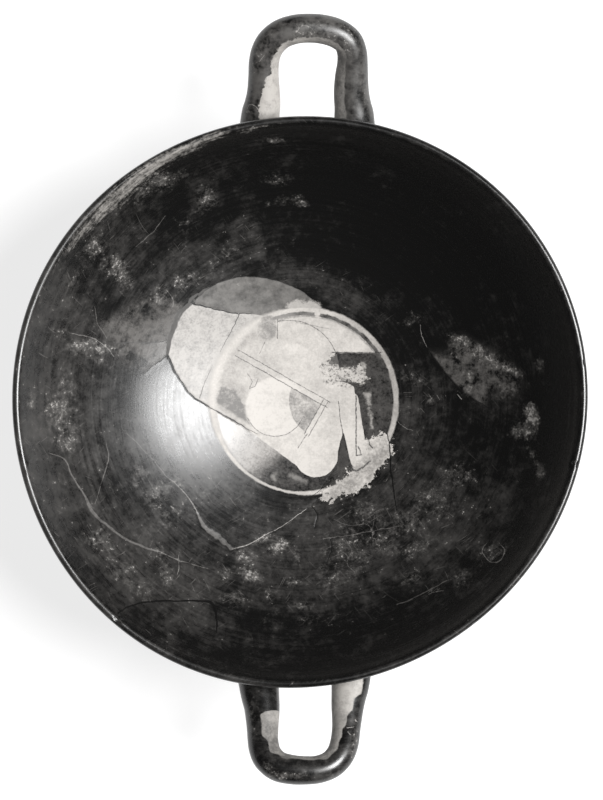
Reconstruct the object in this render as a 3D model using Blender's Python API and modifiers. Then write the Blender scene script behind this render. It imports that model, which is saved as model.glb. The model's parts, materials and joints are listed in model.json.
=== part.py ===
"""Greek drinking cup (kylix): a shallow thrown bowl on a stemmed foot, with two loop handles.

Metres, +Z up. The origin is the centre of the foot's underside and the handles lie along Y.
Bowl, stem and foot are one turned profile. The handles are rolls of clay bent into loops and
pressed on to the wall before firing, so the whole cup is one solid.
"""

import math

import bmesh
import bpy
from mathutils import Vector

# Driving dimensions of the bowl, stem and foot
HEIGHT = 0.0900                 # resting plane to the top of the lip
RIM_RADIUS = 0.1150             # outer edge of the lip, averaged round the cup
RIM_SLOPE = math.radians(54)    # how steeply the wall stands at the lip
FLOOR_Z = 0.0365                # lowest point of the drinking surface
LIP_THICK = 0.0034
FLOOR_THICK = 0.0068
JOIN_RADIUS = 0.0230            # where the bowl's underside starts to turn down into the stem
STEM_RADIUS = 0.0108            # at the stem's waist
STEM_Z = 0.0220
STEM_BEND = 0.0050              # how softly the stem turns at its waist
FOOT_RADIUS = 0.0455
FOOT_EDGE = 0.0072              # height of the foot's upright edge
FOOT_FLAT = 0.0170              # how far in from its edge the disc's top stays nearly flat
FOOT_RISE = 0.0019              # how far the disc's top rises over that stretch
ROUND_TOP = 0.0020              # roundings of the foot's edge
ROUND_LOW = 0.0009
RING_WIDTH = 0.0069             # from the foot's edge in to the end of the flat resting ring
THROAT_RADIUS = 0.0062          # where the hollow under the foot enters the stem
THROAT_Z = 0.0120
HOLLOW_Z = 0.0195               # top of that hollow
SEGMENTS = 64                   # round the cup

# Out of round, as thrown and fired by hand: number of waves round the rim, height and turn
RIM_WAVES = {
    2: (0.00104, math.radians(34)),
    3: (0.00053, math.radians(21)),
    4: (0.00030, math.radians(-28)),
}

# Driving dimensions of the handles
ROLL_RADIUS = 0.0058            # half the height of an even roll of clay
ROLL_FLATTENED = 0.65           # how far a wider stretch of it is pressed flatter to make up
LEAVE_Y = 0.1020                # from here outwards the roll rises
ROOT_Z = 0.0680
BAR_Z = 0.0854
RISE_POWER = 1.35
TRIM_SHARE = 0.55               # share of the wall, from inside, that the roll's end leaves free
ROLL_STEP = 0.0043              # between the rings of the roll

# Each loop: which side, then its stations from one root round to the other, in millimetres:
# place across the cup, distance out from its middle, and half the roll's width there
LOOPS = {
    "far_handle": (1, (
        (-18.0, 84, 8.4), (-16.3, 108, 8.2), (-15.7, 116, 7.75), (-14.95, 120, 7.3),
        (-14.5, 125, 6.65), (-14.5, 131, 6.15), (-14.3, 136, 6.1), (-13.3, 140.5, 6.1),
        (-11.0, 144.3, 6.1), (-7.0, 147.4, 6.0), (-1.6, 149.1, 5.9), (3.9, 149.5, 5.85),
        (9.3, 149.1, 5.9), (14.8, 147.6, 5.95), (19.3, 144.6, 5.95), (21.1, 140.5, 6.0),
        (21.4, 136, 6.2), (21.1, 131.5, 6.65), (20.95, 127.5, 6.95), (21.1, 123.5, 7.2),
        (21.6, 119.5, 7.5), (22.1, 116, 8.0), (22.6, 108, 8.3), (24.2, 84, 8.4),
    )),
    "near_handle": (-1, (
        (-19.0, 84, 8.4), (-17.2, 108, 8.3), (-16.3, 116, 8.0), (-15.75, 120, 7.65),
        (-15.15, 124, 7.2), (-14.95, 128, 6.8), (-14.85, 132, 6.4), (-14.75, 136, 6.2),
        (-14.2, 139.8, 6.2), (-12.6, 143.4, 6.2), (-8.6, 146.7, 6.1), (-3.1, 148.0, 5.95),
        (2.2, 148.3, 5.75), (7.6, 147.9, 5.6), (12.7, 146.0, 5.6), (16.3, 142.4, 5.65),
        (18.1, 137.8, 5.7), (18.85, 132.5, 5.7), (19.2, 128, 6.05), (19.45, 124, 6.5),
        (19.9, 120, 6.95), (20.5, 116, 7.5), (21.2, 108, 8.0), (22.5, 84, 8.4),
    )),
}


def bowl_curve():
    """The drinking surface as part of an ellipse: its two half axes and its outer end."""
    end = Vector((
        RIM_RADIUS - LIP_THICK / 2 * (1 + math.sin(RIM_SLOPE)),
        HEIGHT - LIP_THICK / 2 * (1 - math.cos(RIM_SLOPE)),
    ))
    depth = end.y - FLOOR_Z
    cosine = depth / (math.tan(RIM_SLOPE) * end.x - depth)
    return end.x / math.sqrt(1 - cosine ** 2), depth / (1 - cosine), end


def wall_point(radius, share):
    """A point of the wall at this radius of its inner face, share of the way to its outer."""
    wide, high, end = bowl_curve()
    cosine = math.sqrt(1 - (radius / wide) ** 2)
    tilt = math.atan(high * radius / wide ** 2 / cosine)
    thinning = math.sin(math.pi / 2 * radius / end.x)
    thick = FLOOR_THICK + (LIP_THICK - FLOOR_THICK) * thinning
    return Vector((
        radius + share * thick * math.sin(tilt),
        FLOOR_Z + high * (1 - cosine) - share * thick * math.cos(tilt),
    ))


def arc(middle, radius, start, stop, count):
    """Points on an arc, both ends included, with its angles in degrees."""
    turns = [math.radians(start + (stop - start) * i / count) for i in range(count + 1)]
    return [middle + radius * Vector((math.cos(turn), math.sin(turn))) for turn in turns]


def sweep(start, leave, arrive, end, count):
    """Points of a cubic curve after its start, given the two points that steer it."""
    points = []
    for i in range(1, count + 1):
        t = i / count
        near, far = 1 - t, t
        points.append(
            start * near ** 3 + leave * 3 * far * near ** 2
            + arrive * 3 * far ** 2 * near + end * far ** 3
        )
    return points


def bowl_profile():
    """From the middle of the floor up the inside, over the lip and down the outside."""
    end = bowl_curve()[2]
    inner_steps, lip_steps, outer_steps = 12, 6, 9
    spacing = 0.8               # below 1 sets the rings closer towards the lip
    inside = [wall_point(end.x * (i / inner_steps) ** spacing, 0) for i in range(inner_steps)]
    middle = Vector((RIM_RADIUS - LIP_THICK / 2, HEIGHT - LIP_THICK / 2))
    slope = math.degrees(RIM_SLOPE)
    lip = arc(middle, LIP_THICK / 2, slope + 90, slope - 90, lip_steps)
    outside = [
        wall_point(end.x + (JOIN_RADIUS - end.x) * i / outer_steps, 1)
        for i in range(1, outer_steps + 1)
    ]
    return inside + lip + outside


def foot_profile(above, join):
    """On from the bowl's last two points: the stem, the foot's disc, and its hollow underside."""
    waist = Vector((STEM_RADIUS, STEM_Z))
    upward = Vector((0, STEM_BEND))
    stem = sweep(join, join + (join - above) * 0.62, waist + upward, waist, 5)

    disc = Vector((FOOT_RADIUS - ROUND_TOP, FOOT_EDGE))
    disc_steer = disc + Vector((-FOOT_FLAT, FOOT_RISE))
    top = sweep(waist, waist - upward * 1.7, disc_steer, disc, 7)[:-1]
    edge = arc(disc - Vector((0, ROUND_TOP)), ROUND_TOP, 90, 0, 3)
    edge += arc(Vector((FOOT_RADIUS - ROUND_LOW, ROUND_LOW)), ROUND_LOW, 0, -90, 2)

    ring = Vector((FOOT_RADIUS - RING_WIDTH, 0))
    throat = Vector((THROAT_RADIUS, THROAT_Z))
    crown = Vector((0, HOLLOW_Z))
    under = sweep(ring, ring + Vector((-0.0080, 0.0044)), throat + Vector((0.0060, -0.0040)),
                  throat, 6)
    hollow = sweep(throat, throat + Vector((-0.0022, 0.0040)), crown + Vector((0.0035, 0)),
                   crown, 4)
    return stem + top + edge + [ring] + under + hollow


def turned(name, profile, collection):
    """A profile in the XZ plane turned round the cup's axis."""
    mesh = bpy.data.meshes.new(name)
    edges = [(i, i + 1) for i in range(len(profile) - 1)]
    mesh.from_pydata([(p.x, 0, p.y) for p in profile], edges, [])
    blank = bpy.data.objects.new(name, mesh)
    collection.objects.link(blank)
    wheel = blank.modifiers.new("Wheel", "SCREW")
    wheel.axis = "Z"
    wheel.steps = wheel.render_steps = SEGMENTS
    wheel.use_merge_vertices = True
    wheel.merge_threshold = 0.00001
    return made_mesh(blank)


def made_mesh(blank):
    """The object as its curve or modifiers shape it, as a plain mesh object of the same name."""
    graph = bpy.context.evaluated_depsgraph_get()
    mesh = bpy.data.meshes.new_from_object(blank.evaluated_get(graph))
    name, collection = blank.name, blank.users_collection[0]
    place = blank.matrix_world.copy()
    bpy.data.objects.remove(blank)
    work = bmesh.new()
    work.from_mesh(mesh)
    bmesh.ops.remove_doubles(work, verts=work.verts, dist=0.00001)
    work.to_mesh(mesh)
    work.free()
    solid = bpy.data.objects.new(name, mesh)
    solid.matrix_world = place
    collection.objects.link(solid)
    return solid


def set_out_of_round(solid):
    """Moves the wall in and out by the rim's waves, which die away towards the axis."""
    for vertex in solid.data.vertices:
        radius = math.hypot(vertex.co.x, vertex.co.y)
        angle = math.atan2(vertex.co.y, vertex.co.x)
        wave = sum(size * math.cos(n * (angle - turn)) for n, (size, turn) in RIM_WAVES.items())
        scale = 1 + wave * radius / RIM_RADIUS ** 2
        vertex.co.x *= scale
        vertex.co.y *= scale


def loop_height(y, reach):
    """Height of a loop's centre line at this distance from the cup's axis plane."""
    return ROOT_Z + (BAR_Z - ROOT_Z) * max(0, (y - LEAVE_Y) / (reach - LEAVE_Y)) ** RISE_POWER


def loop_route(side, stations):
    """Evenly spaced places along a smooth curve through the stations, and half widths there."""
    rows = [Vector(row) / 1000 for row in stations]
    ends = [rows[0] * 2 - rows[1]] + rows + [rows[-1] * 2 - rows[-2]]
    fine = []
    for a, b, c, d in zip(ends, ends[1:], ends[2:], ends[3:]):
        for i in range(20):
            t = i / 20
            fine.append((
                b * 2 + (c - a) * t + (a * 2 - b * 5 + c * 4 - d) * t ** 2
                + (b * 3 - a - c * 3 + d) * t ** 3
            ) / 2)
    fine.append(rows[-1])
    lengths = [0]
    for here, there in zip(fine, fine[1:]):
        lengths.append(lengths[-1] + (there.xy - here.xy).length)
    count = round(lengths[-1] / ROLL_STEP)
    reach = max(row.y for row in fine)
    route, step = [], 0
    for i in range(count + 1):
        goal = lengths[-1] * i / count
        while step < len(fine) - 2 and lengths[step + 1] < goal:
            step += 1
        share = (goal - lengths[step]) / (lengths[step + 1] - lengths[step])
        spot = fine[step].lerp(fine[step + 1], share)
        route.append((Vector((spot.x, side * spot.y, loop_height(spot.y, reach))), spot.z))
    return route


def handle(name, loop, trim, collection):
    """A roll of clay along the loop's route, with its ends trimmed to lie inside the wall."""
    route = loop_route(*loop)
    curve = bpy.data.curves.new(name, "CURVE")
    curve.dimensions = "3D"
    curve.bevel_depth = ROLL_RADIUS
    curve.bevel_resolution = 4
    curve.use_fill_caps = True
    curve.twist_mode = "MINIMUM"
    spline = curve.splines.new("POLY")
    spline.points.add(len(route) - 1)
    for point, (place, half) in zip(spline.points, route):
        point.co = (*place, 1)
        point.radius = half / ROLL_RADIUS
    blank = bpy.data.objects.new(name, curve)
    collection.objects.link(blank)
    roll = made_mesh(blank)
    for vertex in roll.data.vertices:
        place, half = min(route, key=lambda stop: (stop[0].xy - vertex.co.xy).length)
        vertex.co.z = place.z + (vertex.co.z - place.z) / (half / ROLL_RADIUS) ** ROLL_FLATTENED
    boolean(roll, "DIFFERENCE", trim)
    hide(roll)
    return roll


def boolean(solid, operation, other):
    step = solid.modifiers.new(other.name, "BOOLEAN")
    step.operation = operation
    step.solver = "EXACT"
    step.object = other


def hide(guide):
    guide.hide_render = True
    guide.display_type = "WIRE"


def wall_trim(collection):
    """The space inside the middle of the wall, which cuts the ends of the handles' rolls."""
    end = bowl_curve()[2]
    steps = 12
    top = HEIGHT + 0.02
    wall = [wall_point(end.x * i / steps, TRIM_SHARE) for i in range(steps, -1, -1)]
    trim = turned("wall_trim", [Vector((0, top)), Vector((wall[0].x, top))] + wall, collection)
    set_out_of_round(trim)
    hide(trim)
    return trim


def black_gloss():
    """Fired black gloss, thin and slightly worn."""
    material = bpy.data.materials.new("black_gloss")
    material.use_nodes = True
    shader = material.node_tree.nodes["Principled BSDF"]
    shader.inputs["Base Color"].default_value = (0.016, 0.014, 0.013, 1)
    shader.inputs["Roughness"].default_value = 0.30
    shader.inputs["Metallic"].default_value = 0
    return material


def new_collection(name):
    collection = bpy.data.collections.new(name)
    bpy.context.scene.collection.children.link(collection)
    return collection


for old in list(bpy.data.objects):
    bpy.data.objects.remove(old)

cup = new_collection("kylix_cup")
cutters = new_collection("cutters")

bowl = bowl_profile()
kylix = turned("kylix", bowl + foot_profile(bowl[-2], bowl[-1]), cup)
set_out_of_round(kylix)
trim = wall_trim(cutters)
for name, loop in LOOPS.items():
    boolean(kylix, "UNION", handle(name, loop, trim, cutters))

kylix.data.materials.append(black_gloss())
kylix.data.shade_smooth()
kylix.data.set_sharp_from_angle(angle=math.radians(40))
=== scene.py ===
import json
import math

import bmesh
import bpy
import numpy as np
from mathutils import Matrix, Vector, kdtree, noise

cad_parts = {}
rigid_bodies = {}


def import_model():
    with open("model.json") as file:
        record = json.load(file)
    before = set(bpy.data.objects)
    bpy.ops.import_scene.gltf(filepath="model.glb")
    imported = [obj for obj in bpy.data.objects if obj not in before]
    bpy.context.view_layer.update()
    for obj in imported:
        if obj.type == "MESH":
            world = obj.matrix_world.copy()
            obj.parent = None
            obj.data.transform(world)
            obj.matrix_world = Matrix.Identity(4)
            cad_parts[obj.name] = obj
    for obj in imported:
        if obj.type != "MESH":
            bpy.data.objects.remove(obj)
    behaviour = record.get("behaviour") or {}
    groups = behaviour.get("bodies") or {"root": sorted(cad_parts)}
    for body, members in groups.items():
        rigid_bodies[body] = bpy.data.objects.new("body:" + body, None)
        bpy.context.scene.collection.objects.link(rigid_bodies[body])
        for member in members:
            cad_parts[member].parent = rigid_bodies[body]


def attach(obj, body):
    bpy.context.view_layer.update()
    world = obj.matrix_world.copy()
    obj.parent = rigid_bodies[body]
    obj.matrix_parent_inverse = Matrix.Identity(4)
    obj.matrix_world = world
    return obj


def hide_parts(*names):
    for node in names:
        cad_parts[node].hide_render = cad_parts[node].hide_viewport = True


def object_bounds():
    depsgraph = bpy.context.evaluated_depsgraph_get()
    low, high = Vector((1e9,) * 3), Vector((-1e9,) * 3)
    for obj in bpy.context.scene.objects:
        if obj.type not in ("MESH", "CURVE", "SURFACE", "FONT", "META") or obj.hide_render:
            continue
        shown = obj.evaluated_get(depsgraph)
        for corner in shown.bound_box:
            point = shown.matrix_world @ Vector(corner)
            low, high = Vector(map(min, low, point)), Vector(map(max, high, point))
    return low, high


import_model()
cad_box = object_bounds()


# ---------------------------------------------------------------------------
# Bowl, stem and foot: fine red clay thrown on the wheel and turned when leather-hard, so all
# three are one profile swung round the axis. Drying and firing pulled the lip a little out of
# round.
HEIGHT = 0.0900
RIM_RADIUS = 0.1150
RIM_SLOPE = math.radians(54)
FLOOR_Z = 0.0365
LIP_THICK = 0.0034
FLOOR_THICK = 0.0068
JOIN_RADIUS = 0.0230
STEM_RADIUS = 0.0108
STEM_Z = 0.0220
STEM_BEND = 0.0050
STEM_PULL = 2.48
DISC_PULL = 1.7
FOOT_RADIUS = 0.0455
FOOT_EDGE = 0.0072
FOOT_FLAT = 0.0170
FOOT_RISE = 0.0019
ROUND_TOP = 0.0020
ROUND_LOW = 0.0009
RING_WIDTH = 0.0069
THROAT_RADIUS = 0.0062
THROAT_Z = 0.0120
HOLLOW_Z = 0.0195
SEGMENTS = 240
RIM_WAVES = {
    2: (0.00104, math.radians(34)),
    3: (0.00053, math.radians(21)),
    4: (0.00030, math.radians(-28)),
}


def bowl_curve():
    """The drinking surface as part of an ellipse: its two half axes and its outer end."""
    end = Vector((
        RIM_RADIUS - LIP_THICK / 2 * (1 + math.sin(RIM_SLOPE)),
        HEIGHT - LIP_THICK / 2 * (1 - math.cos(RIM_SLOPE)),
    ))
    depth = end.y - FLOOR_Z
    cosine = depth / (math.tan(RIM_SLOPE) * end.x - depth)
    return end.x / math.sqrt(1 - cosine ** 2), depth / (1 - cosine), end


def wall_point(radius, share):
    """A point of the wall at this radius of its inner face, share of the way to its outer."""
    wide, high, end = bowl_curve()
    cosine = math.sqrt(1 - (radius / wide) ** 2)
    tilt = math.atan(high * radius / wide ** 2 / cosine)
    thinning = math.sin(math.pi / 2 * radius / end.x)
    thick = FLOOR_THICK + (LIP_THICK - FLOOR_THICK) * thinning
    return Vector((
        radius + share * thick * math.sin(tilt),
        FLOOR_Z + high * (1 - cosine) - share * thick * math.cos(tilt),
    ))


def arc(middle, radius, start, stop, count):
    """Points on an arc, both ends included, with its angles in degrees."""
    turns = [math.radians(start + (stop - start) * i / count) for i in range(count + 1)]
    return [middle + radius * Vector((math.cos(turn), math.sin(turn))) for turn in turns]


def sweep(start, leave, arrive, end, count):
    """Points of a cubic curve after its start, given the two points that steer it."""
    points = []
    for i in range(1, count + 1):
        far = i / count
        near = 1 - far
        points.append(
            start * near ** 3 + leave * 3 * far * near ** 2
            + arrive * 3 * far ** 2 * near + end * far ** 3
        )
    return points


def bowl_profile():
    """From the middle of the floor up the inside, over the lip and down the outside."""
    end = bowl_curve()[2]
    inner_steps, lip_steps, outer_steps = 84, 12, 36
    inside = [wall_point(end.x * (i / inner_steps) ** 0.9, 0) for i in range(inner_steps)]
    middle = Vector((RIM_RADIUS - LIP_THICK / 2, HEIGHT - LIP_THICK / 2))
    slope = math.degrees(RIM_SLOPE)
    lip = arc(middle, LIP_THICK / 2, slope + 90, slope - 90, lip_steps)
    outside = [
        wall_point(end.x + (JOIN_RADIUS - end.x) * i / outer_steps, 1)
        for i in range(1, outer_steps + 1)
    ]
    return inside + lip + outside


def foot_profile(above, join):
    """On from the bowl's last two points: the stem, the foot's disc, and its hollow underside."""
    waist = Vector((STEM_RADIUS, STEM_Z))
    upward = Vector((0, STEM_BEND))
    stem = sweep(join, join + (join - above) * STEM_PULL, waist + upward, waist, 12)

    disc = Vector((FOOT_RADIUS - ROUND_TOP, FOOT_EDGE))
    disc_steer = disc + Vector((-FOOT_FLAT, FOOT_RISE))
    top = sweep(waist, waist - upward * DISC_PULL, disc_steer, disc, 16)[:-1]
    edge = arc(disc - Vector((0, ROUND_TOP)), ROUND_TOP, 90, 0, 6)
    edge += arc(Vector((FOOT_RADIUS - ROUND_LOW, ROUND_LOW)), ROUND_LOW, 0, -90, 4)

    ring = Vector((FOOT_RADIUS - RING_WIDTH, 0))
    throat = Vector((THROAT_RADIUS, THROAT_Z))
    crown = Vector((0, HOLLOW_Z))
    under = sweep(ring, ring + Vector((-0.0080, 0.0044)), throat + Vector((0.0060, -0.0040)),
                  throat, 14)
    hollow = sweep(throat, throat + Vector((-0.0022, 0.0040)), crown + Vector((0.0035, 0)),
                   crown, 8)
    return stem + top + edge + [ring] + under + hollow


def thrown(name, profile):
    """A profile in the XZ plane, drawn by extruding one vertex, then swung round the axis."""
    bpy.ops.object.select_all(action="DESELECT")
    bpy.ops.mesh.primitive_plane_add(size=0.0002, location=(profile[0].x, 0, profile[0].y))
    pot = bpy.context.object
    pot.name = pot.data.name = name
    bpy.ops.object.transform_apply(location=True, rotation=True, scale=True)
    bpy.ops.object.mode_set(mode="EDIT")
    bpy.ops.mesh.merge(type="CENTER")
    for here, there in zip(profile, profile[1:]):
        step = there - here
        bpy.ops.mesh.extrude_vertices_move(TRANSFORM_OT_translate={"value": (step.x, 0, step.y)})
    bpy.ops.mesh.select_all(action="SELECT")
    bpy.ops.mesh.spin(steps=SEGMENTS, angle=2 * math.pi, center=(0, 0, 0), axis=(0, 0, 1))
    bpy.ops.mesh.select_all(action="SELECT")
    bpy.ops.mesh.remove_doubles(threshold=0.00002)
    bpy.ops.mesh.normals_make_consistent(inside=False)
    bpy.ops.object.mode_set(mode="OBJECT")
    return pot


def rim_wave(angle):
    """How far the lip stands out of round at this angle."""
    return sum(size * np.cos(n * (angle - turn)) for n, (size, turn) in RIM_WAVES.items())


def places(pot):
    """A mesh's vertices as rows of x, y and z."""
    rows = np.empty(len(pot.data.vertices) * 3)
    pot.data.vertices.foreach_get("co", rows)
    return rows.reshape(-1, 3)


def put(pot, rows):
    pot.data.vertices.foreach_set("co", rows.ravel())
    pot.data.update()


def set_out_of_round(pot):
    """Moves the wall in and out by the rim's waves, which die away towards the axis."""
    rows = places(pot)
    radius = np.hypot(rows[:, 0], rows[:, 1])
    wave = rim_wave(np.arctan2(rows[:, 1], rows[:, 0]))
    rows[:, :2] *= (1 + wave * radius / RIM_RADIUS ** 2)[:, None]
    put(pot, rows)


bowl = bowl_profile()
cup = thrown("kylix_cup", bowl + foot_profile(bowl[-2], bowl[-1]))
set_out_of_round(cup)


# ---------------------------------------------------------------------------
# Handles: two rolls of the same clay, each bent into a loop. Their ends were scored, pressed on
# to the wall under the lip and smoothed in with slip, so cup and handles fire as one.
ROLL_RADIUS = 0.0058
ROLL_FLATTENED = 0.65
LEAVE_Y = 0.1020
ROOT_Z = 0.0680
BAR_Z = 0.0854
RISE_POWER = 1.35
TRIM_SHARE = 0.55
ROLL_STEP = 0.0012
ROOT_ANGLE = math.radians(24)
MM = 0.001
# Which side, then stations in mm: place across the cup, distance out, half the roll's width.
LOOPS = {
    "far_handle": (1, (
        (-18.0, 84, 8.4), (-16.3, 108, 8.2), (-15.7, 116, 7.75), (-14.95, 120, 7.3),
        (-14.5, 125, 6.65), (-14.5, 131, 6.15), (-14.3, 136, 6.1), (-13.3, 140.5, 6.1),
        (-11.0, 144.3, 6.1), (-7.0, 147.4, 6.0), (-1.6, 149.1, 5.9), (3.9, 149.5, 5.85),
        (9.3, 149.1, 5.9), (14.8, 147.6, 5.95), (19.3, 144.6, 5.95), (21.1, 140.5, 6.0),
        (21.4, 136, 6.2), (21.1, 131.5, 6.65), (20.95, 127.5, 6.95), (21.1, 123.5, 7.2),
        (21.6, 119.5, 7.5), (22.1, 116, 8.0), (22.6, 108, 8.3), (24.2, 84, 8.4),
    )),
    "near_handle": (-1, (
        (-19.0, 84, 8.4), (-17.2, 108, 8.3), (-16.3, 116, 8.0), (-15.75, 120, 7.65),
        (-15.15, 124, 7.2), (-14.95, 128, 6.8), (-14.85, 132, 6.4), (-14.75, 136, 6.2),
        (-14.2, 139.8, 6.2), (-12.6, 143.4, 6.2), (-8.6, 146.7, 6.1), (-3.1, 148.0, 5.95),
        (2.2, 148.3, 5.75), (7.6, 147.9, 5.6), (12.7, 146.0, 5.6), (16.3, 142.4, 5.65),
        (18.1, 137.8, 5.7), (18.85, 132.5, 5.7), (19.2, 128, 6.05), (19.45, 124, 6.5),
        (19.9, 120, 6.95), (20.5, 116, 7.5), (21.2, 108, 8.0), (22.5, 84, 8.4),
    )),
}


def loop_height(y, reach):
    """Height of a loop's centre line at this distance from the cup's axis plane."""
    return ROOT_Z + (BAR_Z - ROOT_Z) * max(0, (y - LEAVE_Y) / (reach - LEAVE_Y)) ** RISE_POWER


def smooth_curve(rows, count):
    """Points along a smooth curve through rows of any width, count from each to the next."""
    rows = np.array(rows, float)
    ends = np.vstack((2 * rows[0] - rows[1], rows, 2 * rows[-1] - rows[-2]))
    steps = np.linspace(0, 1, count, endpoint=False)[:, None]
    curve = [
        0.5 * (
            2 * b + (c - a) * steps + (2 * a - 5 * b + 4 * c - d) * steps ** 2
            + (3 * b - a - 3 * c + d) * steps ** 3
        )
        for a, b, c, d in zip(ends, ends[1:], ends[2:], ends[3:])
    ]
    return np.vstack(curve + [rows[-1:]])


def loop_route(side, stations):
    """Evenly spaced places along a loop's centre line, and half the roll's width at each."""
    fine = smooth_curve(stations, 20) * MM
    lengths = np.hypot(*np.diff(fine[:, :2], axis=0).T).cumsum()
    lengths = np.insert(lengths, 0, 0)
    even = np.linspace(0, lengths[-1], round(lengths[-1] / ROLL_STEP) + 1)
    x, y, half = (np.interp(even, lengths, column) for column in fine.T)
    reach = fine[:, 1].max()
    return [Vector((a, side * b, loop_height(b, reach))) for a, b in zip(x, y)], half


def turn_selected(axis, angle, centre):
    """Turns what is selected about an axis through a point."""
    across = axis.orthogonal().normalized()
    frame_of_turn = Matrix((across, axis.cross(across), axis)).transposed()
    bpy.ops.transform.rotate(
        value=-angle, orient_axis="Z", orient_matrix=frame_of_turn, center_override=centre
    )


def rolled(name, route, halves):
    """A round slice of clay drawn out along a route, pressed flatter where it is wider."""
    headings = [(b - a).normalized() for a, b in zip([route[0]] + route, route[1:] + [route[-1]])]
    headings[0] = headings[1]
    headings[1:-1] = [(a + b).normalized() for a, b in zip(headings[1:-1], headings[2:])]
    flatter = (halves[0] / ROLL_RADIUS) ** -ROLL_FLATTENED
    bpy.ops.object.select_all(action="DESELECT")
    bpy.ops.mesh.primitive_circle_add(vertices=40, radius=halves[0], fill_type="NGON")
    roll = bpy.context.object
    roll.name = roll.data.name = name
    roll.rotation_euler = headings[0].to_track_quat("Z", "Y").to_euler()
    roll.location = route[0]
    bpy.ops.object.transform_apply(location=True, rotation=True, scale=True)
    bpy.ops.object.mode_set(mode="EDIT")
    bpy.ops.mesh.select_all(action="SELECT")
    bpy.ops.transform.resize(value=(1, 1, flatter), center_override=route[0])
    for i in range(1, len(route)):
        here, there = route[i - 1], route[i]
        bpy.ops.mesh.extrude_region_move(TRANSFORM_OT_translate={"value": there - here})
        axis = headings[i - 1].cross(headings[i])
        if axis.length > 0.00001:
            angle = headings[i - 1].angle(headings[i])
            turn_selected(axis.normalized(), angle, there)
        wide = halves[i] / halves[i - 1]
        bpy.ops.transform.resize(
            value=(wide, wide, wide ** (1 - ROLL_FLATTENED)), center_override=there
        )
    bpy.ops.mesh.select_all(action="SELECT")
    bpy.ops.mesh.normals_make_consistent(inside=False)
    bpy.ops.object.mode_set(mode="OBJECT")
    return roll


def applied(pot, kind, **settings):
    """Adds a modifier to a pot and applies it."""
    step = pot.modifiers.new("step", kind)
    for name, value in settings.items():
        setattr(step, name, value)
    bpy.ops.object.select_all(action="DESELECT")
    bpy.context.view_layer.objects.active = pot
    pot.select_set(True)
    bpy.ops.object.modifier_apply(modifier=step.name)


def joined(pot, other, operation):
    """Joins another solid to a pot, or cuts it away, and uses it up."""
    applied(pot, "BOOLEAN", operation=operation, solver="EXACT", object=other)
    bpy.data.objects.remove(other)


def wall_trim():
    """The space inside the middle of the wall, which cuts the ends of the rolls."""
    end = bowl_curve()[2]
    steps = 30
    top = HEIGHT + 0.02
    wall = [wall_point(end.x * i / steps, TRIM_SHARE) for i in range(steps, -1, -1)]
    trim = thrown("wall_trim", [Vector((0, top)), Vector((wall[0].x, top))] + wall)
    set_out_of_round(trim)
    return trim


def opened(pot, kind):
    """Opens a pot's mesh for editing, with none of its parts of this kind selected."""
    bpy.ops.object.select_all(action="DESELECT")
    bpy.context.view_layer.objects.active = pot
    bpy.ops.object.mode_set(mode="EDIT")
    bpy.ops.mesh.select_mode(type=kind)
    bpy.ops.mesh.select_all(action="DESELECT")
    return bmesh.from_edit_mesh(pot.data)


def smoothed_in(pot):
    """Smooths the clay over the sharp line where the rolls meet the wall."""
    work = opened(pot, "EDGE")
    for edge in work.edges:
        middle = (edge.verts[0].co + edge.verts[1].co) / 2
        at_root = abs(middle.y) > 0.085 and 0.05 < middle.z < 0.0855 and abs(middle.x) < 0.04
        if at_root and edge.calc_face_angle(0) > ROOT_ANGLE:
            edge.select_set(True)
    bmesh.update_edit_mesh(pot.data)
    bpy.ops.mesh.select_mode(type="VERT")
    bpy.ops.mesh.select_more()
    bpy.ops.mesh.vertices_smooth(factor=0.5, repeat=3)
    bpy.ops.mesh.select_more()
    bpy.ops.mesh.vertices_smooth(factor=0.5, repeat=4)
    bpy.ops.object.mode_set(mode="OBJECT")


routes = {name: loop_route(*loop) for name, loop in LOOPS.items()}
for name, (route, halves) in routes.items():
    roll = rolled(name, route, halves)
    joined(roll, wall_trim(), "DIFFERENCE")
    joined(cup, roll, "UNION")
smoothed_in(cup)


# ---------------------------------------------------------------------------
# Joins: the cup was found broken and is mended from its sherds. The edges have crumbled, so the
# seams are open grooves, some run full of pale plaster and the widest filled with grey putty.
# Plan positions and half widths are in millimetres, on the drinking surface.
# What shows in a seam, from dark to pale. A crack is as dark as an open seam, but not glossy.
OPEN, CRACK, PUTTY, LENS, PLASTER = 0.0, 0.1, 0.3, 0.6, 1.0
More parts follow.
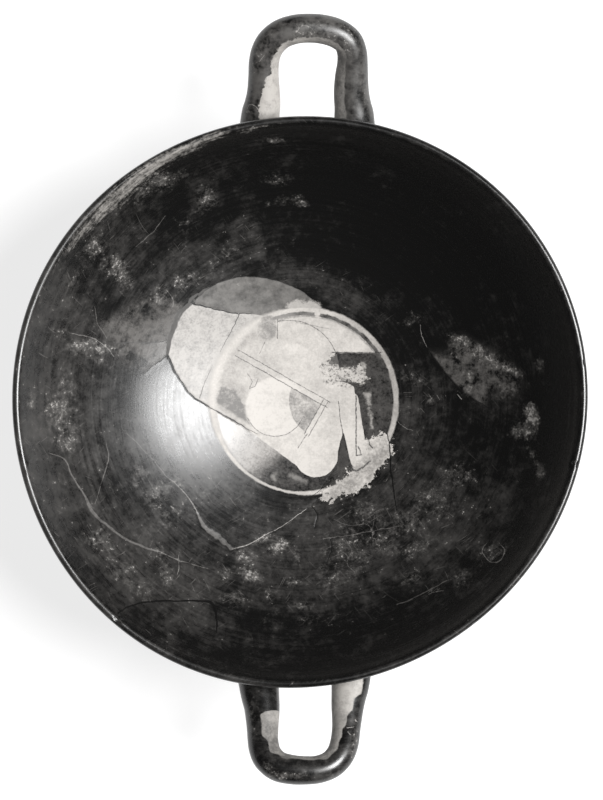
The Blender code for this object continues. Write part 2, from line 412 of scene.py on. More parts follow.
# The joins round the two palest sherds: rows of x, y and half width
FILLED_EDGE = (
    (-45.0, 39.9, .6), (-48.9, 36.1, 1.1), (-52.0, 29.4, 1.0), (-53.9, 22.8, .8), (-54.3, 19, .5),
)
LEFT_CRACK = ((-54.2, 19, .34), (-51.0, 11.5, .22), (-47, 5.6, .18), (-43, 1, .2))
LOW_CRACK = (
    (-43, 1, .2), (-34, -4.5, .2), (-28, -7.8, .32), (-23.5, -10.5, .16), (-17.5, -14, .08),
)
MIDDLE_CRACK = ((-44.5, 40, .3), (-36, 38, .22), (-25, 36, .16), (-19.5, 36, .1))
TOP_CRACK = (
    (-44.5, 40, .2), (-37, 46.5, .16), (-28.5, 50, .12), (-17, 51, .1), (-6.5, 48.5, .1),
    (1, 45, .1), (9.5, 38.5, .1),
)
JOINS = (
    # what shows in the seam, how deep it is, how plainly it shows, and its line
    (PUTTY, 0.06, 1.0, FILLED_EDGE), (CRACK, 0.3, 0.95, LEFT_CRACK), (CRACK, 0.3, 0.9, LOW_CRACK),
    (CRACK, 0.25, 0.95, MIDDLE_CRACK), (CRACK, 0.2, 0.5, TOP_CRACK),
    (PUTTY, 0.06, 0.85, ((-45.2, 39.6, .8), (-43.6, 41.9, .9), (-40.2, 44.6, .6),
                         (-36.6, 46.9, .2))),
    (CRACK, 0.2, 0.7, ((-25, 35.5, .2), (-29, 27, .14), (-33, 20, .06))),
    (CRACK, 0.2, 0.6, ((-36.5, 13, .08), (-39.5, 6, .14), (-41, 1, .2))),
    (CRACK, 0.1, 0.8, ((-54, 19, .24), (-59.5, 15, .18), (-63.5, 11, .08))),
    (CRACK, 0.1, 0.7, ((-55, 24.5, .15), (-64, 24, .12), (-76, 23.5, .08))),
    (PLASTER, 0, 0.1, ((-72.5, -11.5, .1), (-62, -22, .14), (-55, -30.5, .16))),
    (PLASTER, 0.05, 0.32, ((-55, -30.5, .08), (-50, -35, .12), (-47, -38, .16), (-44, -42, .2),
                          (-42, -46, .22))),
    (LENS, 0.3, 0.42, ((-42, -46, .26), (-39, -51.5, .7), (-34, -55.5, 1.0), (-28, -61, .5))),
    (PLASTER, 0.1, 0.5, ((-27.5, -61, .22), (-18, -57.5, .14), (-5, -50, .13), (3, -44.5, .1))),
    (OPEN, 0.2, 0.4, ((3, -44.5, .12), (8.5, -39.5, .12), (13.5, -29.5, .1))),
    (LENS, 0.05, 0.42, ((-101, -21, .1), (-95, -23.5, .2), (-92, -30, .25), (-87.5, -38, .32),
                      (-83.5, -45.5, .6), (-78, -50.5, .4))),
    (LENS, 0.05, 0.4, ((-82, -47, .25), (-78, -50.5, .4), (-72, -55, .36), (-65, -58.7, .34),
                       (-56.5, -61.5, .22))),
    (PLASTER, 0.1, 0.2, ((-56.5, -61.5, .16), (-50.5, -64.5, .16), (-37.5, -68.5, .1))),
    (PLASTER, 0.1, 0.15, ((-78.5, -17, .15), (-78, -24, .18), (-80, -32, .15), (-83, -42, .1))),
    (OPEN, 0.1, 0.85, ((-72.5, -85, .45), (-66.5, -82, .3), (-55, -81, .3), (-40, -81.5, .35),
                      (-35.5, -82.5, .55), (-33.5, -88, .35), (-33.5, -93.5, .3))),
    (OPEN, 0.12, 0.9, ((36.4, -13, .14), (37, -18, .22), (37.4, -26, .28), (38.6, -36, .26),
                       (39.7, -45, .12))),
    # hairlines and scratches
    (PLASTER, 0, 0.34, ((-93.5, 27.5, .1), (-84.5, 25.5, .14), (-78.5, 22, .12), (-75.5, 18, .1))),
    (PLASTER, 0, 0.15, ((9.5, -57, .12), (27, -54, .15), (41, -51.5, .1))),
    (PLASTER, 0, 0.26, ((49.7, 31.3, .12), (50.6, 26, .14), (52.2, 22.3, .1))),
    (OPEN, 0, 0.5, ((52.2, 22.3, .1), (59.2, 12.3, .2), (66.2, 4.3, .3), (72.2, -0.1, .3),
                    (77.2, -2.7, .14))),
    (PLASTER, 0, 0.13, ((39.5, -83, .12), (46, -80, .15), (55, -75.6, .14), (60.5, -72.5, .12))),
    (OPEN, 0.4, 0.9, ((5, -43, .1), (7.2, -47, .18), (6.3, -52, .1))),
    (OPEN, 0.4, 0.9, ((12, -55.5, .1), (13, -60.5, .16), (11.5, -66.5, .1))),
    (OPEN, 0.2, 0.7, ((13.5, -29.5, .1), (8, -37.5, .15), (2, -41, .1))),
)
SCRATCHES = (
    # how plainly each shows, and its line
    (0.2, ((76.2, -57, .14), (74, -60.5, .16), (76.4, -64.4, .16), (80.4, -64.4, .16),
           (82.6, -60.8, .14), (80.6, -57, .12))),
    (0.14, ((19, -57, .1), (21.5, -61.5, .12), (19.6, -66.4, .12), (22.5, -70, .1))),
    (0.14, ((25, -49, .1), (29.5, -52.5, .12), (31.6, -57.5, .1))),
    (0.13, ((31, -47, .1), (30, -55, .12), (33.4, -61.4, .1))),
    (0.13, ((14, -48.5, .1), (21, -51.4, .12), (28, -50, .1))),
    (0.18, ((52, -78.4, .1), (57, -76.9, .14), (59, -76.8, .1))),
    (0.14, ((-67, 62, .1), (-60, 68, .14), (-54.5, 75.5, .1))),
    (0.13, ((-83, 39, .1), (-82, 31.5, .14), (-78.5, 25.5, .1))),
    (0.18, ((-54.6, 45.4, .1), (-51.6, 41.4, .14), (-52.4, 37.4, .1))),
    (0.26, ((-49.4, -62.8, .1), (-49, -67.5, .16), (-49.6, -70.5, .1))),
    (0.22, ((40.8, -8.4, .08), (44, -11.4, .1), (46.8, -12.2, .08))),
    # a worn row of shallow strokes beside the ring
    (0.2, ((43.0, 3.1, .06), (46.6, 3.3, .08))),
    (0.2, ((43.4, 1.5, .08), (47.0, 1.4, .06))),
    (0.16, ((50.4, 2.4, .06), (52.0, 2.0, .08))),
    (0.26, ((53.4, 3.0, .08), (54.4, 0.8, .1))),
    (0.24, ((56.4, 2.6, .08), (57.8, 0.4, .08))),
    (0.2, ((59.8, 2.6, .06), (60.4, 0.9, .08))),
    (0.5, ((64.9, 2.6, .1), (66.6, 0.5, .14))),
    # and on the handles
    (0.42, ((-21.2, 117.4, .08), (-20.2, 119.3, .12), (-18.2, 119.0, .14),
            (-16.2, 116.6, .12), (-15.3, 113.4, .08))),
    (0.3, ((-1.2, 150.8, .08), (0.1, 148.6, .12), (-1.6, 146.8, .08))),
    (0.24, ((1.4, 150.1, .08), (4.4, 149.5, .1), (6.2, 147.2, .08))),
    (0.3, ((-13.6, 139.4, .08), (-15.8, 136.4, .12), (-18.4, 135.4, .08))),
    (0.5, ((22.5, -128.2, .1), (23.4, -129.4, .12))),
    (0.5, ((18.8, -131.4, .1), (21.6, -131.0, .12))),
    (0.45, ((18.9, -132.2, .1), (20.4, -134.0, .12))),
)
JOINS += tuple((PLASTER, 0, cover, line) for cover, line in SCRATCHES)
NICKS = (
    # places on the lip in plan mm, and how wide and deep the chip is
    (-72.6, -87.2, 1.5, 0.7), (114.6, 15.4, 1.0, 0.45), (111.6, -25.6, 0.9, 0.4),
    (-110.4, -28.6, 1.0, 0.35), (-53.0, 101.6, 1.4, 0.4), (70.5, -89.6, 1.1, 0.35),
)
JOIN_STEP = 0.12
# waves per mm in a fracture's wander, and how many mm each moves the line
WANDER = ((0.2, 0.42), (0.45, 0.2), (1.1, 0.16))
DEEP = 0.25
GROOVE_DEPTH = 0.00042
GROOVE_SPREAD = 0.22
SHERD_STEP = 0.00010
SHERD_FADE = 5
NICK_WAVES = 1400
# how far past a seam's edge the faces are divided: inside, outside, and again where it is deep
DIVIDED, DIVIDED_OUTSIDE, DIVIDED_TWICE = 2.4, 1.2, 1.1
NICK_DIVIDED = 2.2
OUTER_STEPS = 60
ON_SURFACE = 0.0009


def drawn_line(points):
    """A smooth line through (x, y, half width) rows, with the wander of a fresh fracture."""
    rows = np.array(points, float)
    length = np.hypot(*np.diff(rows[:, :2], axis=0).T).sum()
    line = smooth_curve(rows, int(length / JOIN_STEP / (len(rows) - 1)) + 1)
    for row in line:
        spot = Vector((row[0], row[1], 0))
        shift = Vector()
        for waves, far in WANDER:
            shift += noise.noise_vector(spot * waves) * far
        row[:2] += shift[:2]
        row[2] = max(0.05, row[2] * (1 + 0.4 * noise.noise(spot * 0.7)))
    return line


def unwaved_radius(rows):
    """Distance of each point from the axis before the lip was pulled out of round."""
    reach = np.hypot(rows[:, 0], rows[:, 1])
    wave = rim_wave(np.arctan2(rows[:, 1], rows[:, 0])) / RIM_RADIUS ** 2
    return 2 * reach / (1 + np.sqrt(1 + 4 * wave * reach))


def inner_height(radius):
    """Height of the drinking surface at a radius."""
    wide, high, end = bowl_curve()
    return FLOOR_Z + high * (1 - np.sqrt(1 - (np.minimum(radius, end.x) / wide) ** 2))


OUTER = np.array([
    wall_point(bowl_curve()[2].x * i / OUTER_STEPS, 1) for i in range(OUTER_STEPS + 1)
])


def wall_sides(rows):
    """Masks of the points on the wall's inner and outer faces, and each one's plan place in mm
    on the inner face."""
    radius = unwaved_radius(rows)
    end = bowl_curve()[2].x
    inner = (radius < end + 0.0001) & (abs(rows[:, 2] - inner_height(radius)) < ON_SURFACE)
    from_outer = np.interp(radius, OUTER[:, 0], np.linspace(0, end, OUTER_STEPS + 1))
    height = np.interp(radius, OUTER[:, 0], OUTER[:, 1])
    outer = ~inner & (radius > JOIN_RADIUS + 0.002) & (radius < OUTER[-1, 0] + 0.0002)
    outer &= abs(rows[:, 2] - height) < ON_SURFACE
    inward = np.where(outer, from_outer / np.maximum(radius, 1e-6), 1)
    return inner, outer, rows[:, :2] * inward[:, None] / MM


def tree_of(spots):
    """A search tree, which finds the nearest of some points."""
    tree = kdtree.KDTree(len(spots))
    for index, spot in enumerate(spots):
        tree.insert(spot, index)
    tree.balance()
    return tree


seam_rows = []
for number, (tone, depth, cover, points) in enumerate(JOINS):
    line = drawn_line(points)
    marks = np.tile((tone, depth, number, cover), (len(line), 1))
    seam_rows.append(np.hstack((line, marks)))
seam_rows = np.vstack(seam_rows)
onward = np.roll(seam_rows[:, :2], -1, axis=0) - seam_rows[:, :2]
seam_rows = np.hstack((seam_rows, onward))
HALF_WIDTH, TONE, DEPTH, NUMBER, COVER, ONWARD_X, ONWARD_Y = range(2, 9)
seams = tree_of([(x, y, 0) for x, y in seam_rows[:, :2]])


def by_seams(rows):
    """Masks of the wall's two faces, each point's place in plan mm, the row of the nearest seam
    point, and the way and the distance from it."""
    inner, outer, plan = wall_sides(rows)
    near = seam_rows[[seams.find((x, y, 0))[1] for x, y in plan]]
    offset = plan - near[:, :2]
    return inner, outer, plan, near, offset, np.hypot(*offset.T)


def divide(pot, chosen):
    """Divides the faces that a rule picks by their middles, and sets the wall's new points on
    its true curve."""
    work = opened(pot, "FACE")
    work.faces.ensure_lookup_table()
    centres = np.array([face.calc_center_median() for face in work.faces])
    for index in np.flatnonzero(chosen(centres)):
        work.faces[index].select_set(True)
    work.select_flush_mode()
    bmesh.update_edit_mesh(pot.data)
    bpy.ops.mesh.subdivide(number_cuts=1)
    bpy.ops.object.mode_set(mode="OBJECT")
    rows = places(pot)
    inner = wall_sides(rows)[0]
    rows[:, 2] = np.where(inner, inner_height(unwaved_radius(rows)), rows[:, 2])
    put(pot, rows)


def from_seams(centres):
    """Masks of the wall's two faces, the gap to the nearest seam's edge, and if it is deep."""
    inner, outer, _, near, _, away = by_seams(centres)
    return inner, outer, away - near[:, HALF_WIDTH], near[:, DEPTH] > DEEP


def near_seams(centres):
    inner, outer, gaps, deep = from_seams(centres)
    return (inner & (gaps < DIVIDED)) | (outer & deep & (gaps < DIVIDED_OUTSIDE))


def near_deep_seams(centres):
    inner, outer, gaps, deep = from_seams(centres)
    return inner & deep & (gaps < DIVIDED_TWICE)


def from_nick(rows, nick):
    return np.hypot(rows[:, 0] / MM - nick[0], rows[:, 1] / MM - nick[1])


def near_nicks(centres):
    gaps = np.min([from_nick(centres, nick) - nick[2] for nick in NICKS], axis=0)
    return (gaps < NICK_DIVIDED) & (centres[:, 2] > HEIGHT - 0.006)


for chosen in (near_seams, near_deep_seams, near_nicks, near_nicks):
    divide(cup, chosen)
rows = places(cup)
for nick in NICKS:
    bite = np.exp(-(from_nick(rows, nick) / nick[2]) ** 4) * (rows[:, 2] > HEIGHT - 0.003)
    uneven = [1 + 0.5 * noise.noise(Vector(row) * NICK_WAVES) for row in rows[bite > 0.01]]
    rows[bite > 0.01, 2] -= bite[bite > 0.01] * np.array(uneven) * nick[3] * MM
put(cup, rows)
inner, outer, plan, near, offset, away = by_seams(places(cup))


def weigh(pot, name, weights):
    """A vertex group with these weights."""
    group = pot.vertex_groups.new(name=name)
    for index in np.flatnonzero(weights > 0.004):
        group.add([int(index)], float(min(1, weights[index])), "REPLACE")


def sink(pot, name, weights, depth):
    """Presses the surface in by up to depth, where the weights say."""
    weigh(pot, name, weights)
    applied(pot, "DISPLACE", vertex_group=name, strength=-depth, mid_level=0, direction="NORMAL")
    pot.vertex_groups.clear()


# A deep break runs through the wall. On one side of each break the sherd sits a little low.
broken = (inner | (outer & (near[:, DEPTH] > DEEP))) * near[:, DEPTH]
groove = broken * np.exp(-(away / (near[:, HALF_WIDTH] + GROOVE_SPREAD)) ** 4)
sink(cup, "open_seams", groove, GROOVE_DEPTH)
side = np.where(np.sin(near[:, NUMBER] * 2.3) > 0, 1, -1)
hand = np.sign(offset[:, 0] * near[:, ONWARD_Y] - offset[:, 1] * near[:, ONWARD_X]) * side
sink(cup, "low_sherds", broken * (hand > 0) * np.exp(-away / SHERD_FADE), SHERD_STEP)
put(cup, np.clip(places(cup), *np.array(cad_box)))


# ---------------------------------------------------------------------------
# Wear: burial and handling have dulled the gloss, scaled it off in patches, rubbed the band
# under the lip and turned one sherd pale. Centres and half sizes are in plan millimetres.
WORN = (
    # x, y, half length, half width, turn in degrees, strength
    (-97, -4, 8, 6.5, 80, 0.72), (-94, -15, 7, 5, 60, 0.74), (-107.5, -0.5, 4, 1.6, 90, 0.8),
    (-96, 6, 6, 3, 60, 0.5), (-88, 22.5, 6, 3, 10, 1.0), (-80, 21.5, 6, 2.4, -20, 0.8),
    (-95, 27, 3, 2, 0, 0.6), (-83, 18, 6, 3, -40, 0.6),
    (-56, 88, 6, 2.6, 20, 0.9), (-64, 83, 4, 2.2, 30, 0.8), (-49, 90.5, 4, 2, 20, 0.7),
    (-37.5, 81.5, 3.4, 5.5, -10, 0.8), (-46, 72, 3, 4, 0, 0.35), (-82, 62, 5, 4, 60, 0.7),
    (-72.5, 52.5, 3.4, 6.0, 30, 0.95), (-78, 55, 3, 4, 30, 0.5), (-90, 50, 8, 3, 60, 0.3),
    (-10, 104.6, 4.5, 1.0, 0, 0.8), (-9, 90, 6, 3, 0, 0.42), (-12.4, 80.3, 1.6, 0.8, 0, 1.1),
    (0.8, 80.5, 3.2, 1.0, -10, 1.1), (-4, 82, 9, 2.2, 0, 0.42),
    (67, 24, 5, 2.2, -36, 1.1), (73, 20, 5, 2.4, -38, 1.2), (80, 15.5, 6, 2.0, -36, 1.15),
    (86, 12.5, 5, 2.0, -38, 0.95), (69.5, 7, 2, 5, 0, 1.0), (64, 21, 4, 2.4, -50, 0.9),
    (84, 5, 6, 4, 20, 0.4), (94, -6, 2.4, 4, 10, 1.6), (92, -12, 3.4, 4, 30, 0.9),
    (89, -13, 4, 3, 0, 0.7), (97.5, -28, 1.8, 3.4, 10, 1.0), (94, -22, 2, 4, 20, 0.5),
    (97, 14.5, 2, 3, 0, 0.6), (66, -72, 5, 3.4, 30, 0.45), (78, -61, 5, 4, 0, 0.5),
    (-8, -59.5, 4.2, 2.4, 20, 1.4), (-1, -64, 1.4, 4.0, 10, 0.9), (-20, -71.5, 5, 2.6, -30, 1.2),
    (-27, -80.5, 4, 3, 0, 0.8), (-15, -57, 4, 1.6, 25, 0.9), (-14, -89.5, 2, 2, 0, 0.6),
    (-21, -65.5, 2, 1.6, 0, 0.9), (-4, -74, 5, 1.6, -10, 0.6), (10, -62, 1.4, 4, -10, 0.6),
    (-30, -70, 3, 1.4, 40, 0.7), (2, -84, 5, 1.2, -8, 0.6), (-12, -80, 1.2, 3.4, 20, 0.6),
    (-22, -64, 4, 3, -30, 0.8), (-54, -71, 2.4, 6, 10, 0.75), (-57, -62, 2, 4, 0, 0.5),
    (-58, -38, 4, 7, -30, 0.6), (-53, -47, 4, 5, -30, 0.55), (-66, -30, 3.4, 6, -30, 0.5),
    (-50, -34, 5, 3, -45, 0.5), (-40, -38, 3, 2, 0, 0.5), (-81, -56, 7, 5, -50, 0.5),
    (-72, -68, 8, 5, -40, 0.5), (-63, -76, 6, 4, -30, 0.45), (5, -89, 8, 1.6, 0, 0.5),
    (44, -50, 10, 5, 20, 0.6), (52, -41, 7, 5, 30, 0.6), (28, -46, 8, 5, 0, 0.5),
    (22, -60, 8, 12, 0, 0.5), (58, -43, 7, 5, 0, 0.5), (64, -31, 6, 5, 20, 0.5),
    (46, -60, 10, 4, 15, 0.5), (34, -58, 6, 5, 0, 0.5), (13, -70, 6, 8, 0, 0.45),
    (46, -72, 5, 3, 0, 0.45), (-48, 49, 7, 4, 35, 0.5), (-57, 43, 5, 4, 0, 0.6),
    (47, 9, 8, 3, -10, 0.45), (54, 0, 2.5, 1.5, -40, 0.7), (46, 33, 5, 3, 40, 0.45),
    (44, -4, 5, 2, 0, 0.4), (-30, 60, 6, 4, 20, 0.4), (-38, 52, 5, 3, 30, 0.5),
    # the handles
    (-6, -150, 9, 1.5, 4, 1.0), (-12, -147, 4, 1.6, -30, 0.8), (14, -150.5, 5, 2.2, 20, 0.6),
    (22, -139, 2, 7, 0, 0.62), (-19, -127, 2, 8, 0, 0.5), (20, 148, 6, 3, -40, 0.6),
    (-18, 137, 3, 6, -20, 0.6), (-12, 146, 5, 2.4, 40, 0.55), (4, 150, 8, 2, 0, 0.6),
    (27, 124, 2.4, 7, 10, 0.5), (-21, 120, 2, 6, -10, 0.45), (3, 146.6, 6, 2.0, 0, 0.75),
    (-15.5, 141, 2.2, 6, -24, 0.7), (13, 146.5, 4, 2, -20, 0.8), (19, 141, 2.4, 5, 10, 0.7),
)
HAZE = (
    (-95, 0, 22, 75, 0, 0.9), (-75, 58, 30, 22, 40, 0.62), (-60, -65, 45, 26, -35, 0.9),
    (0, -68, 50, 26, 0, 0.75), (50, -52, 40, 26, 30, 0.8), (-50, -25, 34, 30, 0, 0.7),
    (-40, 55, 32, 18, 15, 0.7), (8, 50, 22, 7, -25, 0.55), (78, 8, 16, 18, 0, 0.45),
    (45, -16, 18, 24, 0, 0.5), (-35, 88, 30, 12, 15, 0.35), (52, 2, 14, 10, 0, 0.35),
)
# Outlines of a dull sherd, and of a sherd and a patch whose gloss has gone thin and grey: their
# corners, and how softly each fades in from the side that starts at that corner.
DULL_PATCH = (
    (-24.5, 78, 2.5), (-16, 74, 0.5), (-13.6, 66, 0.5), (-13.4, 58, 0.5), (-14.2, 56.5, 1.5),
    (-25, 56, 3), (-32, 60, 3), (-32, 72, 3),
)
THIN_SHERD = (
    (-54.3, 19, 0.7), (-53.8, 25, 0.7), (-52.3, 30, 0.7), (-49.6, 36, 0.7), (-46.5, 40, 4),
    (-54, 46, 9), (-68, 43, 13), (-84, 32, 14), (-74, 14, 10), (-62, 10.4, 1.0),
)
THIN_PATCH = (
    (52.2, 22.3, 0.8), (59.2, 12.3, 0.8), (66.2, 4.3, 0.8), (72.2, -0.1, 0.8), (77.2, -2.7, 3),
    (78.2, 2.3, 3), (81.2, 3.9, 3), (88.2, 0.3, 6), (92.2, 3.3, 6), (91.8, 10.3, 5),
    (87.2, 16.3, 5), (80.2, 21.3, 5), (71.2, 26.3, 5), (66.2, 29.3, 5), (61.8, 27.3, 5),
    (60.5, 22, 7),
)
# Where the hand and the shelf have rubbed the band under the lip: a strip of places with its
# half width and strength.
RUBBED = (
    (-103, 39, 1.2, 0.3), (-96, 55, 1.6, 0.55), (-87.5, 67, 2.4, 0.8), (-79.5, 76, 3.2, 0.95),
    (-71, 84.3, 3.6, 1.1), (-62, 91.6, 3.4, 1.15), (-52.5, 97.6, 3.0, 1.1), (-42.5, 102.4, 2.6, 1.0),
    (-31, 106.4, 2.2, 0.8), (-20, 109, 1.8, 0.55), (-8, 110.6, 1.4, 0.3),
)


def patches(plan, rows):
    """The strongest of some soft patches at each place: each fades out from its middle."""
    total = np.zeros(len(plan))
    for x, y, long, wide, turn, strength in rows:
        turn = math.radians(turn)
        ahead = ((plan[:, 0] - x) * math.cos(turn) + (plan[:, 1] - y) * math.sin(turn)) / long
        aside = ((plan[:, 1] - y) * math.cos(turn) - (plan[:, 0] - x) * math.sin(turn)) / wide
        total = np.maximum(total, strength * np.exp(-0.8 * (ahead ** 2 + aside ** 2) ** 1.2))
    return total


def within(plan, corners):
    """1 for the plan places inside an outline, by counting the sides crossed on the way out."""
    crossed = np.zeros(len(plan), bool)
    for (ax, ay), (bx, by) in zip(corners, corners[1:] + corners[:1]):
        level = (ay > plan[:, 1]) != (by > plan[:, 1])
        crossed ^= level & (plan[:, 0] < (bx - ax) * (plan[:, 1] - ay) / (by - ay + 1e-9) + ax)
    return crossed.astype(float)


def from_side(plan, a, b):
    """How far each place is from the straight side between two corners, in mm."""
    a, way = np.array(a), np.subtract(b, a)
    share = np.clip((plan - a) @ way / (way @ way + 1e-9), 0, 1)
    return np.hypot(*(plan - a - share[:, None] * way).T)


def softly_within(plan, corners):
    """The same for (x, y, edge) corners: it rises from 0 to 1 over each side's soft edge."""
    inside = within(plan, [corner[:2] for corner in corners])
    for here, there in zip(corners, corners[1:] + corners[:1]):
        inside = np.minimum(inside, from_side(plan, here[:2], there[:2]) / here[2])
    return inside.clip(0, 1)


def from_edge(plan, corners):
    """How far in from an outline each place is, to 3 mm, and less than 0 outside it."""
    gap = np.full(len(plan), 3.0)
    for a, b in zip(corners, corners[1:] + corners[:1]):
        gap = np.minimum(gap, from_side(plan, a, b))
    return gap * (within(plan, corners) * 2 - 1)


def outline(*lines):
    """One outline from the joins that bound a sherd, and any corners between them."""
    return [tuple(row[:2]) for line in lines for row in line]


def note(pot, name, values, kind="FLOAT"):
    """Keeps a value for each vertex, for the finish to read."""
    layer = pot.data.attributes.new(name, kind, "POINT")
    slot = "vector" if kind == "FLOAT_VECTOR" else "value"
    layer.data.foreach_set(slot, np.ravel(values).astype(np.float32))


PAINT_REACH = 1.7
OUTER_PAINT_REACH = 2.6
KEPT_OFF = 99
OUTLINE_STEP = 12
DULL_RING = 47
rows = places(cup)
inner, outer, plan, near, offset, away = by_seams(rows)
lip = (rows[:, 2] > HEIGHT - 0.0015) & (unwaved_radius(rows) < RIM_RADIUS - 0.0005)
on_handle = (abs(rows[:, 1]) > 0.112) & ~inner & ~outer & ~lip
# A seam's paint reaches no farther than this from it, and is kept off the other surfaces.
lift = np.maximum(0, away - np.where(inner | on_handle, PAINT_REACH, OUTER_PAINT_REACH)) * 5
lift = np.where(inner | on_handle | (outer & (near[:, DEPTH] > DEEP)), lift, KEPT_OFF)
across = offset / near[:, HALF_WIDTH, None] * (inner | outer | on_handle)[:, None]
note(cup, "seam", np.column_stack((across, lift)), "FLOAT_VECTOR")
note(cup, "seam_tone", near[:, TONE])
note(cup, "seam_cover", near[:, COVER])

seen = inner | lip | on_handle
note(cup, "worn", patches(plan, WORN) * seen)
dull = np.maximum(patches(plan, HAZE), softly_within(plan, DULL_PATCH) * 0.85)
dull += 0.3 * np.exp(-((np.hypot(*plan.T) - DULL_RING) / 9) ** 2)
note(cup, "haze", dull * seen + np.where(on_handle, 0.3, 0.4) * ~inner)
strip = smooth_curve(RUBBED, 12)
gaps = np.hypot(plan[:, :1] - strip[:, 0], plan[:, 1:] - strip[:, 1])
step = gaps.argmin(axis=1)
rub_strength = strip[step, 3] * np.exp(-(gaps.min(axis=1) / strip[step, 2]) ** 2)
note(cup, "rubbed", rub_strength * (inner | lip))
thin = softly_within(plan, THIN_PATCH) * 0.38
thin = np.maximum(thin, softly_within(plan, THIN_SHERD) * 0.9)
note(cup, "thin_patch", thin * inner)
middle_crack = drawn_line(MIDDLE_CRACK)[::OUTLINE_STEP]
low_crack = [row for row in drawn_line(LOW_CRACK)[::OUTLINE_STEP] if row[0] < -27]
pale_sherd = outline(
    middle_crack, ((-12, 34.6), (-14, 20), (-22, 0), (-26, -9)), low_crack[::-1],
    drawn_line(LEFT_CRACK)[::-OUTLINE_STEP], drawn_line(FILLED_EDGE)[::-OUTLINE_STEP],
)
grey_sherd = outline(
    drawn_line(TOP_CRACK)[::OUTLINE_STEP], ((5, 34), (-10, 33)), middle_crack[::-1]
)
note(cup, "pale", np.where(inner, from_edge(plan, pale_sherd), -3))
note(cup, "grey", np.where(inner, from_edge(plan, grey_sherd), -3))
note(cup, "inside", inner)

# The gloss stops at a line along each roll: -1 is its outer side, 0 its top and 1 its inner side.
GLOSS_EDGE = np.array((
    # place in plan mm, where the line runs there, and how dark the clay beyond it is painted: stain,
    # and on the far handle's right leg, whose inner face turns from the light, painted shade
    (-15.5, -117, 1.4, 0.5), (-15, -125.2, 1.2, 0.62), (-15, -128.4, -0.12, 0.62),
    (-15, -134, -0.05, 0.72), (-14, -141, 0.4, 0.85), (-8, -147, 0.74, 0.8),
    (-2, -148, 0.85, 0.75), (6, -148, 0.8, 0.7), (13, -146, 0.6, 0.6), (17, -141, 0.45, 0.45),
    (18.5, -136, 0.3, 0.4), (19, -131, 0.05, 0.3), (19.4, -125, -0.35, 0.22),
    (20.3, -117, -0.7, 0.15),
    (-15.7, 116, -0.05, 0.15), (-14.8, 121, -0.2, 0.05), (-14.5, 126, -0.1, 0),
    (-14.5, 130, 0.15, 0.05), (-14.3, 135, 0.55, 0.15), (-11, 144, 0.66, 0.3),
    (-2, 149, 0.7, 0.4), (9, 149, 0.7, 0.45), (17, 146, 0.68, 0.6), (21, 140, 0.5, 0.8),
    (21, 130, 0.42, 0.8), (21.3, 122, 0.5, 0.75), (22, 116, 0.5, 0.7),
))
facing = np.full(len(rows), -1.0)
clay_stain_and_shade = np.full(len(rows), 0.5)
for side, (route, halves) in ((1, routes["far_handle"]), (-1, routes["near_handle"])):
    centre_line = tree_of(route)
    middle = sum(route, Vector()) / len(route)
    for index in np.flatnonzero((rows[:, 1] * side > 0.1) & ~inner & ~outer):
        spot = Vector(rows[index])
        core, step, gap = centre_line.find(spot)
        if gap > halves[step] * 1.2:
            continue
        ahead = (route[min(step + 1, len(route) - 1)] - route[max(step - 1, 0)]).normalized()
        inward = ahead.cross(Vector((0, 0, 1))).normalized()
        if inward.dot(middle - core) < 0:
            inward = -inward
        from_edges = np.hypot(*(GLOSS_EDGE[:, :2] - np.array(core.xy) / MM).T)
        weights = 1 / (from_edges ** 2 + 0.5) ** 2
        edge, clay_stain_and_shade[index] = weights @ GLOSS_EDGE[:, 2:] / weights.sum()
        facing[index] = (spot - core).normalized().dot(inward) - edge
note(cup, "bare_side", facing)
note(cup, "clay_stain_and_shade", clay_stain_and_shade)
matt = 1 - 0.5 * np.clip((plan[:, 0] - 11) / 8, 0, 1)
note(cup, "matt", np.where(rows[:, 1] > 0.1, matt, 0.15) * on_handle)


